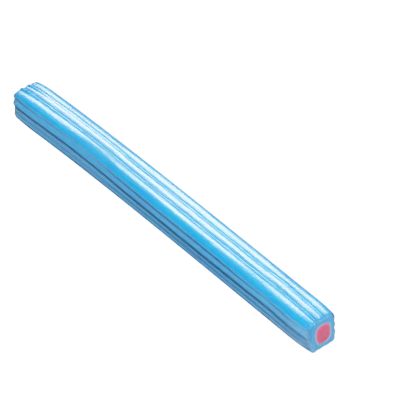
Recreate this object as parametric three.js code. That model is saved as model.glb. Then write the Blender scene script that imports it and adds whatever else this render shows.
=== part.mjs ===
// A filled licorice stick: a ribbed skin of nearly square section, extruded round a soft core.
// Millimetres, +Z up. The stick lies along X on its lower ribs.
import * as THREE from 'three';

// Overall size of the stick, its length taken along the middle
const LENGTH = 186;
const WIDTH = 14;
const HEIGHT = 15;
const CORNER_RADIUS = 3.4;

// Ribs: each face has a groove in its middle and one towards each corner
const GROOVES_PER_FACE = 3;
const GROOVE_SHARE = 0.53;
const GROOVE_DEPTH = 0.7;
const RIB_SHARPNESS = 1.2;
const FACE_RIB_POINTS = 6;
const CORNER_RIB_POINTS = 8;

// Filling: a rounded oblong that runs right through, just clear of the skin
const FILLING_WIDTH = 7.8;
const FILLING_HEIGHT = 9.2;
const FILLING_CORNER_RADIUS = 3.5;
const FILLING_POINTS = 28;
const SKIN_GAP = 0.2;

// Ends: squeezed a little by the cut, with a rounded rim, and leaning so that they reach further out below
const PINCH = 0.06;
const PINCH_REACH = 9;
const RIM_RADIUS = 1;
const CUT_LEAN = 0.09;
const LEAN_REACH = 12;
const RIM_STEPS = 4;
const PINCH_STEPS = 3;

// Bow: the stick lies in a slight curve, strongest nearer the -X end, and rests near its ends
const BOW = 1.5;
const BOW_SKEW = 0.6;
const MIDDLE_LIFT = 0.15;
const BODY_STEPS = 16;

const SKIN_COLOUR = 0x4fa8de;
const SKIN_ROUGHNESS = 0.35;
const FILLING_COLOUR = 0xd8718f;
const FILLING_ROUGHNESS = 0.6;

// Rounded rectangle about the origin, anticlockwise from the middle of its top side
function roundedBox(width, height, radius) {
  const x = width / 2 - radius;
  const y = height / 2 - radius;
  const quarter = Math.PI / 2;
  const outline = new THREE.Path();
  outline.moveTo(0, height / 2);
  outline.lineTo(-x, height / 2);
  outline.absarc(-x, y, radius, quarter, 2 * quarter);
  outline.lineTo(-width / 2, -y);
  outline.absarc(-x, -y, radius, 2 * quarter, 3 * quarter);
  outline.lineTo(x, -height / 2);
  outline.absarc(x, -y, radius, 3 * quarter, 4 * quarter);
  outline.lineTo(width / 2, y);
  outline.absarc(x, y, radius, 0, quarter);
  outline.lineTo(0, height / 2);
  return outline;
}

// Distances along the outline, from the middle of the top side, at which the grooves lie
function groovePlaces(perimeter) {
  const places = [];
  for (let face = 0; face < 4; face += 1) {
    const middle = (face * perimeter) / 4;
    const side = face % 2 === 0 ? WIDTH : HEIGHT;
    const offset = (GROOVE_SHARE * side) / 2;
    places.push(middle - offset, middle, middle + offset);
  }
  return places;
}

// Height of a rib over its groove, from 0 to 1, at a share of the way across the rib
function ribHeight(share) {
  return Math.sin(Math.PI * share) ** (2 * RIB_SHARPNESS);
}

// Ribbed outline of the skin: full width and height at the rib crests
function skinOutline() {
  const outline = roundedBox(WIDTH, HEIGHT, CORNER_RADIUS);
  const perimeter = outline.getLength();
  const grooves = groovePlaces(perimeter);
  const points = [];
  grooves.forEach((start, index) => {
    const next = grooves[index + 1] ?? grooves[0] + perimeter;
    const turnsCorner = index % GROOVES_PER_FACE === GROOVES_PER_FACE - 1;
    const count = turnsCorner ? CORNER_RIB_POINTS : FACE_RIB_POINTS;
    for (let step = 0; step < count; step += 1) {
      const share = step / count;
      const place = (start + (next - start) * share + perimeter) % perimeter;
      const point = outline.getPoint(place / perimeter);
      const tangent = outline.getTangent(place / perimeter);
      const inward = new THREE.Vector2(-tangent.y, tangent.x);
      points.push(point.addScaledVector(inward, GROOVE_DEPTH * (1 - ribHeight(share))));
    }
  });
  return points;
}

// Rounded oblong, smaller than the filling's full size by a clearance all round
function fillingOutline(clearance) {
  const width = FILLING_WIDTH - 2 * clearance;
  const height = FILLING_HEIGHT - 2 * clearance;
  const outline = roundedBox(width, height, FILLING_CORNER_RADIUS - clearance);
  return outline.getSpacedPoints(FILLING_POINTS).slice(0, FILLING_POINTS);
}

// Distances from an end at which a section is placed, closest together round the rim
function endDistances() {
  const distances = [];
  for (let step = 0; step <= RIM_STEPS; step += 1) {
    const angle = ((Math.PI / 2) * step) / RIM_STEPS;
    distances.push(RIM_RADIUS * (1 - Math.cos(angle)));
  }
  for (let step = 1; step <= PINCH_STEPS; step += 1) {
    distances.push(RIM_RADIUS + ((PINCH_REACH - RIM_RADIUS) * step) / PINCH_STEPS);
  }
  return distances;
}

// Places along X of all the sections, from the -X end to the +X end
function sectionPlaces() {
  const ends = endDistances();
  const body = LENGTH - 2 * PINCH_REACH;
  const far = ends.map((distance) => distance - LENGTH / 2);
  const middle = [];
  for (let step = 1; step < BODY_STEPS; step += 1) {
    middle.push(-body / 2 + (body * step) / BODY_STEPS);
  }
  const near = ends.map((distance) => LENGTH / 2 - distance).reverse();
  return [...far, ...middle, ...near];
}

// Sideways shift of the section at a place along the stick
function bowAt(x) {
  const share = Math.min(1, Math.max(0, x / LENGTH + 0.5));
  return BOW * Math.sin(Math.PI * share ** BOW_SKEW);
}

// Lift of the section at a place along the stick
function liftAt(x) {
  return MIDDLE_LIFT * Math.cos((Math.PI * x) / LENGTH);
}

// Size of the section against its full size, squeezed towards both ends
function pinchAt(endDistance) {
  const nearness = Math.max(0, 1 - endDistance / PINCH_REACH);
  return 1 - PINCH * nearness ** 2;
}

// How far the rounded rim draws the skin in, close to an end
function rimInset(endDistance) {
  const over = Math.max(0, RIM_RADIUS - endDistance);
  return RIM_RADIUS - Math.sqrt(RIM_RADIUS ** 2 - over ** 2);
}

// Shift along the stick for each millimetre up from the middle of the section, close to an end
function leanAt(x) {
  const nearness = Math.max(0, 1 - (LENGTH / 2 - Math.abs(x)) / LEAN_REACH);
  return -Math.sign(x) * CUT_LEAN * nearness;
}

// Extrudes a section in even steps, then moves each ring to its place along the stick
function stickGeometry(shape, places) {
  const steps = places.length - 1;
  const geometry = new THREE.ExtrudeGeometry(shape, { depth: steps, steps, bevelEnabled: false });
  const position = geometry.attributes.position;
  const skinReach = WIDTH / 2 - 2 * GROOVE_DEPTH;
  for (let index = 0; index < position.count; index += 1) {
    const place = places[Math.round(position.getZ(index))];
    const endDistance = LENGTH / 2 - Math.abs(place);
    const reach = Math.hypot(position.getX(index), position.getY(index));
    const inset = reach > skinReach ? rimInset(endDistance) : 0;
    const scale = pinchAt(endDistance) * (1 - inset / reach);
    const across = position.getX(index) * scale;
    const up = position.getY(index) * scale;
    position.setXYZ(index, place + leanAt(place) * up, across + bowAt(place), up + liftAt(place));
  }
  geometry.computeVertexNormals();
  return geometry;
}

function skin(places) {
  const shape = new THREE.Shape(skinOutline());
  shape.holes.push(new THREE.Path(fillingOutline(0)));
  const material = new THREE.MeshStandardMaterial({ color: SKIN_COLOUR, roughness: SKIN_ROUGHNESS });
  const mesh = new THREE.Mesh(stickGeometry(shape, places), material);
  mesh.name = 'skin';
  return mesh;
}

function filling(places) {
  const shape = new THREE.Shape(fillingOutline(SKIN_GAP));
  const material = new THREE.MeshStandardMaterial({ color: FILLING_COLOUR, roughness: FILLING_ROUGHNESS });
  const mesh = new THREE.Mesh(stickGeometry(shape, places), material);
  mesh.name = 'filling';
  return mesh;
}

const places = sectionPlaces();
const stick = new THREE.Group();
stick.add(skin(places), filling(places));

// The origin is under the middle of the whole stick, on the surface that it lies on
const box = new THREE.Box3().setFromObject(stick);
const middle = box.getCenter(new THREE.Vector3());
stick.position.set(-middle.x, -middle.y, -box.min.z);

export default stick;
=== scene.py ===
"""Looks of a filled licorice stick: a glossy fluted blue skin round a pink core, on a white floor."""
import math
from typing import NamedTuple

import bpy
import numpy as np
from mathutils import Matrix, Vector


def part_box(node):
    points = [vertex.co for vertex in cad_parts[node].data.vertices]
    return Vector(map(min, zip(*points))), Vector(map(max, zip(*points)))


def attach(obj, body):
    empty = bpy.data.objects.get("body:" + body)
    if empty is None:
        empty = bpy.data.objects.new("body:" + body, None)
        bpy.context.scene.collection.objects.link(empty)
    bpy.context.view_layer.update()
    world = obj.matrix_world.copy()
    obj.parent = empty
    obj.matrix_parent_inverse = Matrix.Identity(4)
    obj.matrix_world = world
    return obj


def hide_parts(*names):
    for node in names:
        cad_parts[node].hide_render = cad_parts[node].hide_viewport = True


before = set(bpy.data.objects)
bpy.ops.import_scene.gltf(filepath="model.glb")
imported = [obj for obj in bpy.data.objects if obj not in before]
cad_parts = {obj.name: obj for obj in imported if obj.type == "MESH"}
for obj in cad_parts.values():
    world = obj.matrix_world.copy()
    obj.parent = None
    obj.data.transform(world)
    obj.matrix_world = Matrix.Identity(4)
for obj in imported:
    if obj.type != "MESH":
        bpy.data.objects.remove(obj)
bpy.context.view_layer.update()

MM = 0.001
SEED = 11


class Groove(NamedTuple):
    """A groove along the stick: its lengths in millimetres, round the outline or into it."""
    place: float
    reach_back: float
    reach_ahead: float
    depth: float
    drift_share: float = 0.5
    drift_deepening: float = 0.0


class Face(NamedTuple):
    """The grooves of a face, how hollow they are, and how they fade at +X and deepen at -X."""
    grooves: tuple
    hollowness: float
    near_fade: float
    far_deepening: float


class Softbox(NamedTuple):
    """An area light: its direction from the stick, the direction of its first side, and its sides."""
    name: str
    towards: tuple
    distance: float
    across: tuple
    size: tuple
    radiance: float


# Section of the stick in millimetres, as in the solids apart from a tighter lower -Y corner.
# Each corner follows a face: top, -Y, bottom, +Y.
LENGTH = 186.0
WIDTH = 14.0
HEIGHT = 15.0
CORNER_RADII = (3.4, 0.9, 3.4, 3.4)
FILLING_WIDTH = 7.8
FILLING_HEIGHT = 9.2
FILLING_RADII = (3.5, 3.5, 3.5, 3.5)

# Grooves of each face, at places from its middle
TOP_GROOVES = (
    Groove(-3.0, 2.8, 1.9, 0.38, drift_share=0.4),
    Groove(0.4, 1.6, 2.4, 0.46, drift_share=0.6),
    Groove(4.15, 1.4, 3.6, 0.45, drift_share=0.45),
)
FRONT_GROOVES = (
    Groove(-2.7, 2.2, 2.2, 0.32, drift_share=0.85, drift_deepening=0.6),
    Groove(1.95, 2.6, 4.0, 0.46, drift_share=0.8, drift_deepening=0.3),
    Groove(4.7, 1.5, 1.5, 0.2),
)
BASE_GROOVES = (
    Groove(-3.7, 1.85, 1.85, 0.25),
    Groove(0.0, 1.85, 1.85, 0.25),
    Groove(3.7, 1.85, 1.85, 0.25),
)
BACK_GROOVES = (
    Groove(-4.6, 1.9, 1.9, 0.75),
    Groove(-0.9, 1.9, 1.9, 0.65),
    Groove(3.1, 1.9, 1.9, 0.55, drift_share=0.4),
)
FACES = (
    Face(TOP_GROOVES, hollowness=1.0, near_fade=0.0, far_deepening=0.8),
    Face(FRONT_GROOVES, hollowness=0.0, near_fade=0.75, far_deepening=0.6),
    Face(BASE_GROOVES, hollowness=0.0, near_fade=0.0, far_deepening=0.0),
    Face(BACK_GROOVES, hollowness=0.3, near_fade=0.2, far_deepening=0.4),
)
FADE_REACH = 45.0
DEEPENING_REACH = 14.0

# Rounding of the ridges between hollow flutes and of the bottoms of creases, as shares of their reach
RIDGE_ROUNDING = 0.06
RIDGE_LIMIT = 2
CREASE_ROUNDING = 0.26

# Stretches over which the grooves have drifted back round the stick, as place, reach and drift
DRIFTS = ((-88, 30, 0.7), (-48, 24, 1.3), (67, 11, 0.8))

# Stretches over which the upper -Y corner is worn rounder, as place, reach and depth
WORN_STRETCHES = ((-78, 16, 0.2), (-41, 18, 0.52), (62, 12, 0.3))
WORN_PLACE = 6.3
WORN_REACH = 3.0
WORN_HOLLOWNESS = 1.0

# The top rises a little along the stick, and droops just before the -X end
RISE = 0.6
DROOP = 0.1
DROOP_REACH = 9.0

# The -Y face stands out a little, and its lower part draws in towards the base
STAND_OUT = 0.5
DRAW_IN = 1.3
DRAW_IN_FROM = 1.5
DRAW_IN_POWER = 1.5
FRONT_POWER = 3

# Unevenness of the extrusion: grooves wander and vary in depth, each over some wavelengths
PLACE_WANDER = 0.08
PLACE_WAVES = (95, 41, 23)
DEPTH_WANDER = 0.07
DEPTH_WAVES = (70, 31)
WAVE_STRETCH = (0.8, 1.25)

# Fine lines: ripples round the outline that drift and fade along the stick
LINE_COUNT = 14
LINE_HEIGHT = 0.009
LINE_RIPPLES = (26, 62)
LINE_DRIFT = 0.5
LINE_DRIFT_WAVES = (120, 50)
LINE_FADE_WAVES = (60, 27)

# Ends: squeezed, with a rounded rim, and cut so that they reach further out below
PINCH = 0.06
PINCH_REACH = 9.0
RIM = 1.0
RIM_REACH = 1.5
CUT_LEAN = 0.09
LEAN_REACH = 12.0
CORE_DOME = 0.2
CORE_SINK = 0.06

# The lower part of the stick is scuffed paler towards the +X end
SCUFF_START = 45.0
SCUFF_FULL = 85.0
SCUFF_TOP = 2.0
SCUFF_FOOT = -5.0

# Painted shade with a greyish painted sheen at the rims of the cuts, out to a share of the way from the rim
# to the core
SHADE_AND_SHEEN_REACH = 4.0
SHADE_AND_SHEEN_SHARE = 1 / 3

# Bow: the stick lies in a slight curve, strongest nearer the -X end, and rests near its ends
BOW = 1.5
BOW_SKEW = 0.6
MIDDLE_LIFT = 0.15

# Mesh steps
POINTS_ROUND = 360
BODY_STEPS = 180
RIM_STEPS = 12
PINCH_STEPS = 16
FACE_RINGS = 10
BORE_STEPS = 6
CORE_POINTS = 96
CORE_STEPS = 40
CORE_FACE_RINGS = 14

# Colours
SKIN_BLUE = (0.012, 0.385, 0.775)
SKIN_DEEP = (0.010, 0.34, 0.735)
SKIN_SCUFFED = (0.22, 0.52, 0.87)
# Painted shade and sheen: a darker, greyer blue that stands in for how the light falls on the rims of the
# cuts
SKIN_SHADE_AND_SHEEN = (0.065, 0.30, 0.585)
BLEED = (0.55, 0.50, 0.78)
BLEED_START = 0.75
BLEED_SHARE = 0.9
CORE_PINK = (0.73, 0.175, 0.30)
CORE_ROSE = (0.69, 0.13, 0.235)
CORE_EDGE = (0.72, 0.34, 0.48)
CORE_EDGE_START = 0.72

# Noises: grains per metre along the stick and across it, and detail
SKIN_PATCHES = (18, 420, 3)
SKIN_STREAKS = (45, 2200, 4)
SKIN_GRAIN = (700, 1500, 2)
CORE_PATCHES = (700, 700, 4)
CORE_CRUMB = (2600, 2600, 3)

# Parts of a noise's range that are spread out over a whole one
FULL = (0, 1)
PATCH_RANGE = (0.35, 0.65)
SCUFF_RANGE = (0.4, 0.6)
ROUGHNESS_RANGE = (0.3, 0.7)

# Surfaces: roughness from least to most, strength and distance of bumps, and light that goes in
SKIN_ROUGHNESS = (0.26, 0.37)
SKIN_SPECULAR = 1.0
GRAIN_BUMP = (0.35, 0.00012)
STREAK_BUMP = (0.25, 0.00025)
SKIN_SUBSURFACE = (0.35, (0.15, 0.45, 1.0), 0.0012)
CORE_ROUGHNESS = (0.42, 0.6)
CRUMB_BUMP = (0.3, 0.0002)
CORE_SUBSURFACE = (0.2, (1.0, 0.5, 0.5), 0.001)

# Floor and studio
FLOOR_SIDE = 6.0
FLOOR_COLOUR = (0.2, 0.2, 0.2, 1)
FLOOR_ROUGHNESS = 0.8
FLOOR_GLOW = 1.5
WHITE = (1, 1, 1, 1)
WORLD_ABOVE = 0.11
WORLD_BELOW = 0.05
WORLD_DUSK = (-0.6, 0.1)

# Camera: where it stands, in degrees and metres, and the point beside the stick that it aims at
CAMERA_AZIMUTH = 51.675
CAMERA_ELEVATION = 40.918
CAMERA_ROLL = -1.275
CAMERA_DISTANCE = 1.1071
CAMERA_LENS = 251.7
CAMERA_REACH = 20
SENSOR_WIDTH = 36
AIM_RIGHT = 0.01313
AIM_UP = 0.00969
AXIS_Y = -0.000817

# Film response: light and level of each point of the curve, and the light that turns white
FILM_WHITE = 1.6
FILM_LEVELS = ((0.25, 0.25), (0.5, 0.5), (0.8, 0.72), (1.1, 0.86))
COMBINED_CURVE = 3

rng = np.random.default_rng(SEED)


# Shape

def corner_saving(radius):
    """How much shorter a rounded corner is than a sharp one, along the outline."""
    return (2 - math.pi / 2) * radius


def face_middles(width, height, radii):
    """Distances along the outline of the middles of the top, -Y, bottom and +Y faces, then its length."""
    steps = [(width + height) / 2 - corner_saving(radius) for radius in radii]
    return np.concatenate([[0], np.cumsum(steps)])


def rounded_box(width, height, radii, distance):
    """Points and inward directions on a rounded rectangle, anticlockwise from the middle of its top."""
    points = np.zeros(distance.shape + (2,))
    inward = np.zeros(distance.shape + (2,))
    middles = face_middles(width, height, radii)
    distance = np.mod(distance, middles[-1])
    halves = (width / 2, height / 2)
    for face, radius in enumerate(radii):
        turn = math.pi / 2 * face
        out = np.array([-math.sin(turn), math.cos(turn)])
        ahead = np.array([-math.cos(turn), -math.sin(turn)])
        across, along = halves[face % 2], halves[(face + 1) % 2]
        flat = across - radius
        here = (distance >= middles[face]) & (distance <= middles[face + 1])
        place = distance[here] - middles[face]
        angle = np.clip((place - flat) / radius, 0, math.pi / 2)
        before = np.minimum(place, flat)[:, None]
        after = np.maximum(place - flat - math.pi / 2 * radius, 0)[:, None]
        facing = np.cos(angle)[:, None] * out + np.sin(angle)[:, None] * ahead
        points[here] = (along - radius) * out + before * ahead + radius * facing - after * out
        inward[here] = -facing
    return points, inward


def wander(x, wavelengths, size):
    """A smooth seeded wobble along the stick."""
    total = np.zeros_like(x)
    for wavelength in wavelengths:
        phase = rng.uniform(0, 2 * math.pi)
        stretch = rng.uniform(*WAVE_STRETCH)
        total += np.sin(2 * math.pi * x / (wavelength * stretch) + phase)
    return size * total / math.sqrt(len(wavelengths))


def swell(x, stretches):
    """A size that swells and fades over each of some stretches of the stick."""
    return sum(size * np.exp(-((x - place) / reach) ** 2) for place, reach, size in stretches)


def nearness(distance, reach):
    """From 0, at a reach away from an end, to 1 at the end."""
    return np.clip(1 - distance / reach, 0, 1)


def end_distance(x):
    """Distance from the nearer end."""
    return LENGTH / 2 - np.abs(x)


def grooves(x):
    """Places along the outline, reaches, depths and hollowness of each groove, and of the worn corner."""
    middles = face_middles(WIDTH, HEIGHT, CORNER_RADII)
    near = nearness(LENGTH / 2 - x, FADE_REACH)
    far = nearness(LENGTH / 2 + x, DEEPENING_REACH)
    drift = swell(x, DRIFTS)
    for middle, face in zip(middles, FACES):
        left = (1 - face.near_fade * near) * (1 + face.far_deepening * far)
        for groove in face.grooves:
            places = middle + groove.place - groove.drift_share * drift
            depths = groove.depth * left * (1 + groove.drift_deepening * drift)
            yield places, (groove.reach_back, groove.reach_ahead), depths, face.hollowness
    worn_reaches = (WORN_REACH, WORN_REACH)
    yield middles[0] + WORN_PLACE, worn_reaches, swell(x, WORN_STRETCHES), WORN_HOLLOWNESS


def flute_form(share):
    """Depth of a hollow flute, from 0 to 1, at a share of its reach; its ridges are softly rounded."""
    hollow = 1 - share ** 2
    rounded = (hollow + np.sqrt(hollow ** 2 + RIDGE_ROUNDING ** 2)) / 2
    return np.where(np.abs(share) < RIDGE_LIMIT, rounded, 0)


def crease_form(share):
    """Depth of a crease, from 0 to 1, at a share of its reach."""
    return np.clip(1 + CREASE_ROUNDING - np.sqrt(share ** 2 + CREASE_ROUNDING ** 2), 0, 1) ** 2


def groove_inset(x, distance, around):
    """How far the grooves cut into the outline, for each place along the stick and round it."""
    inset = np.zeros((len(x), len(distance)))
    for places, (reach_back, reach_ahead), full_depths, hollowness in grooves(x):
        moved = places + wander(x, PLACE_WAVES, PLACE_WANDER)
        depth = full_depths * (1 + wander(x, DEPTH_WAVES, DEPTH_WANDER))
        gap = distance[None, :] - moved[:, None]
        gap = (gap + around / 2) % around - around / 2
        share = gap / np.where(gap < 0, reach_back, reach_ahead)
        form = hollowness * flute_form(share) + (1 - hollowness) * crease_form(share)
        inset += depth[:, None] * form
    return inset


def fine_lines(x, distance, around):
    """Thin lines that run along the stick, each a ripple round the outline that drifts and fades."""
    relief = np.zeros((len(x), len(distance)))
    for _ in range(LINE_COUNT):
        ripples = rng.integers(*LINE_RIPPLES)
        drift = wander(x, LINE_DRIFT_WAVES, LINE_DRIFT) + rng.uniform(0, 2 * math.pi)
        strength = np.clip(wander(x, LINE_FADE_WAVES, 1.0), 0, 1)
        angle = 2 * math.pi * ripples * distance[None, :] / around
        relief += strength[:, None] * np.sin(angle + drift[:, None])
    return LINE_HEIGHT * relief / math.sqrt(LINE_COUNT)


def draw_in(x, section):
    """How far the -Y face lies further in, for points of the section; its upper part lies further out."""
    below = np.clip((DRAW_IN_FROM - section[..., 1]) / (HEIGHT / 2 + DRAW_IN_FROM), 0, 1)
    frontness = np.clip(-2 * section[..., 0] / WIDTH, 0, 1) ** FRONT_POWER
    inwards = 1 - nearness(end_distance(x), LEAN_REACH)[:, None]
    return (DRAW_IN * below ** DRAW_IN_POWER - STAND_OUT * inwards) * frontness


def rise(x, section):
    """How far the top lies higher towards the -X end, for points of the section."""
    height = RISE * (0.5 - x / LENGTH) - DROOP * nearness(LENGTH / 2 + x, DROOP_REACH) ** 2
    return height[:, None] * np.clip(2 * section[..., 1] / HEIGHT, 0, 1)


def bow_at(x):
    """Sideways shift of the section at a place along the stick."""
    share = np.clip(x / LENGTH + 0.5, 0, 1)
    return BOW * np.sin(math.pi * share ** BOW_SKEW)


def lift_at(x):
    """Lift of the section at a place along the stick."""
    return MIDDLE_LIFT * np.cos(math.pi * x / LENGTH)


def pinch_at(x):
    """Size of the section against its full size, squeezed towards both ends."""
    return 1 - PINCH * nearness(end_distance(x), PINCH_REACH) ** 2


def rim_inset(x):
    """How far the rounded rim draws the skin in, close to an end."""
    return RIM * (1 - np.sqrt(1 - nearness(end_distance(x), RIM_REACH) ** 2))


def placed(x, section):
    """Rings of section points, in place along the bowed stick with its leaning ends."""
    lean = -np.sign(x) * CUT_LEAN * nearness(end_distance(x), LEAN_REACH)
    rings = np.empty(section.shape[:2] + (3,))
    rings[..., 0] = x[:, None] + lean[:, None] * section[..., 1]
    rings[..., 1] = section[..., 0] + bow_at(x)[:, None]
    rings[..., 2] = section[..., 1] + lift_at(x)[:, None]
    return rings


def stations():
    """Places along X of the outer rings, from the -X end to the +X end, closest together round the rims."""
    angles = np.linspace(0, math.pi / 2, RIM_STEPS + 1)
    pinch = np.linspace(RIM_REACH, PINCH_REACH, PINCH_STEPS + 1)[1:]
    ends = np.concatenate([RIM_REACH * (1 - np.cos(angles)), pinch])
    body = np.linspace(-LENGTH / 2 + PINCH_REACH, LENGTH / 2 - PINCH_REACH, BODY_STEPS + 1)[1:-1]
    return np.concatenate([ends - LENGTH / 2, body, (LENGTH / 2 - ends)[::-1]])


def core_outline(count):
    """Points evenly round the core."""
    around = face_middles(FILLING_WIDTH, FILLING_HEIGHT, FILLING_RADII)[-1]
    distance = np.arange(count) / count * around
    points, _ = rounded_box(FILLING_WIDTH, FILLING_HEIGHT, FILLING_RADII, distance)
    return points


def skin_sections(x):
    """Outer points of the skin's section at each place along the stick."""
    around = face_middles(WIDTH, HEIGHT, CORNER_RADII)[-1]
    distance = np.arange(POINTS_ROUND) / POINTS_ROUND * around
    outline, inward = rounded_box(WIDTH, HEIGHT, CORNER_RADII, distance)
    inset = groove_inset(x, distance, around) + fine_lines(x, distance, around)
    section = outline[None] + inward[None] * np.maximum(inset, 0)[..., None]
    section[..., 0] += draw_in(x, section)
    section[..., 1] += rise(x, section)
    reach = np.linalg.norm(section, axis=-1, keepdims=True)
    return section * pinch_at(x)[:, None, None] * (1 - rim_inset(x)[:, None, None] / reach)


def skin_rings():
    """Rings of the skin, along the outside, over the near face, back through the bore, over the far face.

    Also gives, for each ring, how close it lies to the core, from 0 to 1.
    """
    x = stations()
    outer = placed(x, skin_sections(x))
    bore_x = np.linspace(LENGTH / 2, -LENGTH / 2, BORE_STEPS + 1)
    inner = placed(bore_x, core_outline(POINTS_ROUND)[None] * pinch_at(bore_x)[:, None, None])
    share = 1 - (1 - np.arange(1, FACE_RINGS) / FACE_RINGS) ** 2
    to_core = share[:, None, None]
    near_face = outer[-1] * (1 - to_core) + inner[0] * to_core
    far_face = (outer[0] * (1 - to_core) + inner[-1] * to_core)[::-1]
    closeness = np.concatenate([np.zeros(len(x)), share, np.ones(len(bore_x)), share[::-1]])
    return np.concatenate([outer, near_face, inner, far_face]), closeness


def scuffing(rings, closeness):
    """How scuffed the skin is at each point, from 0 to 1; its cut faces and bore aren't."""
    along = np.clip((rings[..., 0] - SCUFF_START) / (SCUFF_FULL - SCUFF_START), 0, 1)
    lowness = np.clip((SCUFF_TOP - rings[..., 2]) / (SCUFF_TOP - SCUFF_FOOT), 0, 1)
    return along * lowness * (closeness[:, None] == 0)


def rim_shade_and_sheen(rings, closeness):
    """How much painted shade and sheen the skin has at each point, from 0 to 1: most at the rims of the
    cuts.
    """
    at_rim = nearness(end_distance(rings[..., 0]), SHADE_AND_SHEEN_REACH)
    return at_rim * np.clip(1 - closeness / SHADE_AND_SHEEN_SHARE, 0, 1)[:, None]


def core_rings():
    """Rings of the core, from the middle of the near face to the middle of the far one.

    Also gives the size of each ring against the core's full size.
    """
    share = np.linspace(0, 1, CORE_FACE_RINGS + 2)[1:-1]
    dome = CORE_DOME * (1 - share ** 2) - CORE_SINK
    body = np.linspace(LENGTH / 2 - CORE_SINK, -LENGTH / 2 + CORE_SINK, CORE_STEPS + 1)
    x = np.concatenate([LENGTH / 2 + dome, body, (-LENGTH / 2 - dome)[::-1]])
    size = np.concatenate([share, np.ones(len(body)), share[::-1]])
    section = core_outline(CORE_POINTS)[None] * (size * pinch_at(x))[:, None, None]
    return placed(x, section), size


# Meshes

def ring_faces(rings, points, closed):
    """Four-sided faces between each ring and the next, and between the last and the first if closed."""
    starts = np.arange(rings if closed else rings - 1)
    ring, point = np.meshgrid(starts, np.arange(points), indexing="ij")
    here = ring * points
    after = (ring + 1) % rings * points
    beside = (point + 1) % points
    corners = [here + point, here + beside, after + beside, after + point]
    return np.stack(corners, axis=-1).reshape(-1, 4).tolist()


def capped_faces(rings, points):
    """Faces of a rod whose rings run from +X to -X, with a cap at each end."""
    faces = [face[::-1] for face in ring_faces(rings, points, False)]
    last_ring = (rings - 1) * points
    faces.append(list(range(points)))
    faces.append([last_ring + index for index in reversed(range(points))])
    return faces


def mesh_object(name, rings, faces, attributes):
    """A smooth mesh on these rings, with attributes of its rings or of its points."""
    mesh = bpy.data.meshes.new(name)
    mesh.from_pydata((rings.reshape(-1, 3) * MM).tolist(), [], faces)
    for label, values in attributes.items():
        layer = mesh.attributes.new(label, "FLOAT", "POINT")
        of_points = np.broadcast_to(values.reshape(len(rings), -1), rings.shape[:2])
        layer.data.foreach_set("value", of_points.astype(np.float32).ravel())
    mesh.update()
    mesh.shade_smooth()
    made = bpy.data.objects.new(name, mesh)
    bpy.context.scene.collection.objects.link(made)
    return made


# Materials

def new_material(name):
    material = bpy.data.materials.new(name)
    material.use_nodes = True
    tree = material.node_tree
    return material, tree, tree.nodes["Principled BSDF"]


def noise(tree, scale_along, scale_across, detail):
    """Noise whose grains are drawn out along the stick; the scales are grains per metre."""
    place = tree.nodes.new("ShaderNodeTexCoord")
    stretch = tree.nodes.new("ShaderNodeMapping")
    stretch.inputs["Scale"].default_value = (scale_along, scale_across, scale_across)
    grains = tree.nodes.new("ShaderNodeTexNoise")
    grains.inputs["Scale"].default_value = 1.0
    grains.inputs["Detail"].default_value = detail
    tree.links.new(place.outputs["Object"], stretch.inputs["Vector"])
    tree.links.new(stretch.outputs["Vector"], grains.inputs["Vector"])
    return grains.outputs["Fac"]


def spread(tree, value, old_range, new_range):
    """Maps a value's range onto another one."""
    node = tree.nodes.new("ShaderNodeMapRange")
    for name, number in zip(("From Min", "From Max", "To Min", "To Max"), old_range + new_range):
        node.inputs[name].default_value = number
    tree.links.new(value, node.inputs["Value"])
    return node.outputs["Result"]


def blend(tree, factor, first, second):
    """A colour between two, each of which is a colour or another node's output."""
    node = tree.nodes.new("ShaderNodeMix")
    node.data_type = "RGBA"
    tree.links.new(factor, node.inputs["Factor"])
    for name, colour in (("A", first), ("B", second)):
        socket = next(item for item in node.inputs if item.name == name and item.type == "RGBA")
        if isinstance(colour, tuple):
            socket.default_value = (*colour, 1)
        else:
            tree.links.new(colour, socket)
    return next(item for item in node.outputs if item.type == "RGBA")


def attribute(tree, name):
    """Value of a mesh attribute."""
    node = tree.nodes.new("ShaderNodeAttribute")
    node.attribute_name = name
    return node.outputs["Fac"]


def product(tree, first, second):
    """Two values multiplied."""
    node = tree.nodes.new("ShaderNodeMath")
    node.operation = "MULTIPLY"
    tree.links.new(first, node.inputs[0])
    tree.links.new(second, node.inputs[1])
    return node.outputs["Value"]


def bump(tree, height, strength, distance, under=None):
    """A bumped surface direction, over another one if given."""
    node = tree.nodes.new("ShaderNodeBump")
    node.inputs["Strength"].default_value = strength
    node.inputs["Distance"].default_value = distance
    tree.links.new(height, node.inputs["Height"])
    if under:
        tree.links.new(under, node.inputs["Normal"])
    return node.outputs["Normal"]


def let_light_in(shader, weight, radius, scale):
    """Lets light scatter a little below the surface."""
    shader.inputs["Subsurface Weight"].default_value = weight
    shader.inputs["Subsurface Radius"].default_value = radius
    shader.inputs["Subsurface Scale"].default_value = scale


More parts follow.
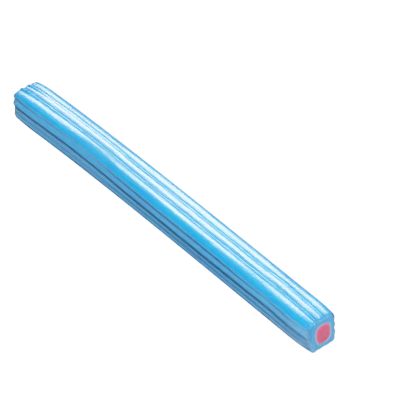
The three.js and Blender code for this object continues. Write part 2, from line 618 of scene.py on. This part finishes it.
def skin_material():
    """Glossy blue with fine lines, scuffed in places, with painted shade and sheen at the rims of the cuts,
    paler where the core bleeds into it.
    """
    material, tree, shader = new_material("blue_licorice")
    patches = noise(tree, *SKIN_PATCHES)
    blue = blend(tree, spread(tree, patches, PATCH_RANGE, FULL), SKIN_BLUE, SKIN_DEEP)
    streaks = noise(tree, *SKIN_STREAKS)
    scuffs = product(tree, spread(tree, streaks, SCUFF_RANGE, FULL), attribute(tree, "scuffing"))
    # Painted shade and sheen at the rims of the cuts
    shaded_rims = blend(tree, attribute(tree, "rim_shade_and_sheen"), blue, SKIN_SHADE_AND_SHEEN)
    scuffed = blend(tree, scuffs, shaded_rims, SKIN_SCUFFED)
    bleed = spread(tree, attribute(tree, "core_closeness"), (BLEED_START, 1.0), (0, BLEED_SHARE))
    tree.links.new(blend(tree, bleed, scuffed, BLEED), shader.inputs["Base Color"])
    roughness = spread(tree, streaks, ROUGHNESS_RANGE, SKIN_ROUGHNESS)
    tree.links.new(roughness, shader.inputs["Roughness"])
    grainy = bump(tree, noise(tree, *SKIN_GRAIN), *GRAIN_BUMP)
    tree.links.new(bump(tree, streaks, *STREAK_BUMP, grainy), shader.inputs["Normal"])
    shader.inputs["Specular IOR Level"].default_value = SKIN_SPECULAR
    let_light_in(shader, *SKIN_SUBSURFACE)
    return material


def core_material():
    """Satin pink with a crumb, paler towards its edge."""
    material, tree, shader = new_material("pink_filling")
    patches = noise(tree, *CORE_PATCHES)
    pink = blend(tree, spread(tree, patches, PATCH_RANGE, FULL), CORE_PINK, CORE_ROSE)
    edge = spread(tree, attribute(tree, "core_share"), (CORE_EDGE_START, 1.0), FULL)
    tree.links.new(blend(tree, edge, pink, CORE_EDGE), shader.inputs["Base Color"])
    crumb = noise(tree, *CORE_CRUMB)
    roughness = spread(tree, crumb, ROUGHNESS_RANGE, CORE_ROUGHNESS)
    tree.links.new(roughness, shader.inputs["Roughness"])
    tree.links.new(bump(tree, crumb, *CRUMB_BUMP), shader.inputs["Normal"])
    let_light_in(shader, *CORE_SUBSURFACE)
    return material


# Pieces: both are moved so that the skin's back and base lie where the solid's do

skin_points, core_closeness = skin_rings()
skin_low, skin_high = (np.array(corner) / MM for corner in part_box("skin"))
to_back = skin_high[1] - skin_points[..., 1].max()
to_base = skin_low[2] - skin_points[..., 2].min()
shift = np.array([0, to_back, to_base])

skin_attributes = {
    "core_closeness": core_closeness,
    "scuffing": scuffing(skin_points, core_closeness),
    # Painted shade and sheen at the rims of the cuts
    "rim_shade_and_sheen": rim_shade_and_sheen(skin_points, core_closeness),
}
skin_faces = ring_faces(len(skin_points), POINTS_ROUND, True)
skin = mesh_object("licorice_skin", skin_points + shift, skin_faces, skin_attributes)
skin.data.materials.append(skin_material())
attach(skin, "root")
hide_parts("skin")

core_points, core_share = core_rings()
core_faces = capped_faces(len(core_points), CORE_POINTS)
filling = mesh_object("licorice_filling", core_points + shift, core_faces, {"core_share": core_share})
filling.data.materials.append(core_material())
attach(filling, "root")
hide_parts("filling")


# Floor, lights and camera

def add_floor():
    """A white floor that only the camera sees, so that the stick mirrors the even studio below it."""
    bpy.ops.mesh.primitive_plane_add(size=FLOOR_SIDE, location=(0, 0, 0))
    floor = bpy.context.object
    floor.name = "floor"
    material, _, shader = new_material("white_floor")
    shader.inputs["Base Color"].default_value = FLOOR_COLOUR
    shader.inputs["Roughness"].default_value = FLOOR_ROUGHNESS
    shader.inputs["Specular IOR Level"].default_value = 0.0
    shader.inputs["Emission Color"].default_value = WHITE
    shader.inputs["Emission Strength"].default_value = FLOOR_GLOW
    floor.data.materials.append(material)
    floor.visible_diffuse = False
    floor.visible_glossy = False


def mirrored(tilt):
    """Direction that a surface along the stick can mirror into the camera, tilted from the vertical."""
    along = -math.sin(math.radians(CAMERA_AZIMUTH)) * math.cos(math.radians(CAMERA_ELEVATION))
    across = math.sqrt(1 - along ** 2)
    return (along, across * math.sin(math.radians(tilt)), across * math.cos(math.radians(tilt)))


def add_softbox(softbox, lights_colour, lights_gloss):
    """A rectangular area light that faces the stick, seen in its colour or in its gloss."""
    width, height = softbox.size
    light = bpy.data.lights.new(softbox.name, "AREA")
    light.shape = "RECTANGLE"
    light.size = width
    light.size_y = height
    light.energy = softbox.radiance * math.pi * width * height
    made = bpy.data.objects.new(softbox.name, light)
    out = Vector(softbox.towards).normalized()
    side = Vector(softbox.across)
    side = (side - out * side.dot(out)).normalized()
    made.location = out * softbox.distance
    made.rotation_euler = Matrix((side, out.cross(side), out)).transposed().to_euler()
    made.visible_diffuse = lights_colour
    made.visible_glossy = lights_gloss
    bpy.context.scene.collection.objects.link(made)


def add_world():
    """A dim even studio, darker below."""
    world = bpy.data.worlds.new("studio")
    bpy.context.scene.world = world
    world.use_nodes = True
    tree = world.node_tree
    direction = tree.nodes.new("ShaderNodeTexCoord")
    parts = tree.nodes.new("ShaderNodeSeparateXYZ")
    tree.links.new(direction.outputs["Generated"], parts.inputs["Vector"])
    strength = spread(tree, parts.outputs["Z"], WORLD_DUSK, (WORLD_BELOW, WORLD_ABOVE))
    tree.links.new(strength, tree.nodes["Background"].inputs["Strength"])
    tree.nodes["Background"].inputs["Color"].default_value = WHITE


def add_camera():
    """A camera with a long lens, at the photograph's viewing angle."""
    turn = math.radians(CAMERA_AZIMUTH)
    tilt = math.radians(CAMERA_ELEVATION)
    roll = math.radians(CAMERA_ROLL)
    back = Vector((math.sin(turn) * math.cos(tilt), -math.cos(turn) * math.cos(tilt), math.sin(tilt)))
    level = Vector((math.cos(turn), math.sin(turn), 0))
    upright = back.cross(level)
    right = level * math.cos(roll) + upright * math.sin(roll)
    up = upright * math.cos(roll) - level * math.sin(roll)
    axis = Vector((0, AXIS_Y, 0))
    location = axis + back * CAMERA_DISTANCE
    ahead = (axis + right * AIM_RIGHT + up * AIM_UP - location).normalized()
    sideways = (right - ahead * right.dot(ahead)).normalized()
    data = bpy.data.cameras.new("camera")
    data.lens = CAMERA_LENS
    data.sensor_width = SENSOR_WIDTH
    data.clip_end = CAMERA_REACH
    camera = bpy.data.objects.new("camera", data)
    camera.location = location
    camera.rotation_euler = Matrix((sideways, sideways.cross(ahead), -ahead)).transposed().to_euler()
    bpy.context.scene.collection.objects.link(camera)
    bpy.context.scene.camera = camera


def set_film_response():
    """Light values are kept up to a middle level, then roll off softly to white, as on film."""
    view = bpy.context.scene.view_settings
    view.view_transform = "Standard"
    view.use_curve_mapping = True
    view.curve_mapping.white_level = (FILM_WHITE, FILM_WHITE, FILM_WHITE)
    response = view.curve_mapping.curves[COMBINED_CURVE]
    for light, level in FILM_LEVELS:
        response.points.new(light / FILM_WHITE, level)
    view.curve_mapping.update()


# Softboxes that show only in the gloss of the stick, then those that only light its colour
KEY_TILT = 24
BACK_TILT = 118
QUARTER_TURN = 90
ALONG = (1, 0, 0)
SQUARE = (0.9, 0.9)
GLOSS_SOFTBOXES = (
    Softbox("key", mirrored(KEY_TILT), 1.2, mirrored(KEY_TILT + QUARTER_TURN), (0.68, 0.68), 13.8),
    Softbox("side_card", (-0.6, -0.65, -0.47), 1.0, ALONG, SQUARE, 0.9),
    Softbox("end_card", (0.59, 0.47, -0.66), 1.0, ALONG, SQUARE, 1.5),
    Softbox("near_card", (0.2, -0.55, -0.7), 0.9, ALONG, (1.1, 0.9), 0.9),
    Softbox("front_card", (0.05, -0.82, -0.57), 0.16, ALONG, (0.08, 0.16), 0.8),
    Softbox("back_card", mirrored(BACK_TILT), 1.0, mirrored(BACK_TILT + QUARTER_TURN), (1.2, 0.9), 1.1),
    Softbox("rim_card", (0.65, 0.47, 0.59), 1.2, ALONG, SQUARE, 2.0),
)
COLOUR_SOFTBOXES = (
    Softbox("back", (-0.7, 0.7, 0.14), 1.5, ALONG, SQUARE, 6.5),
    Softbox("fill", (0.5, -0.41, 0.763), 1.5, ALONG, SQUARE, 14.1),
)

add_floor()
for gloss_softbox in GLOSS_SOFTBOXES:
    add_softbox(gloss_softbox, lights_colour=False, lights_gloss=True)
for colour_softbox in COLOUR_SOFTBOXES:
    add_softbox(colour_softbox, lights_colour=True, lights_gloss=False)
add_world()
add_camera()
set_film_response()
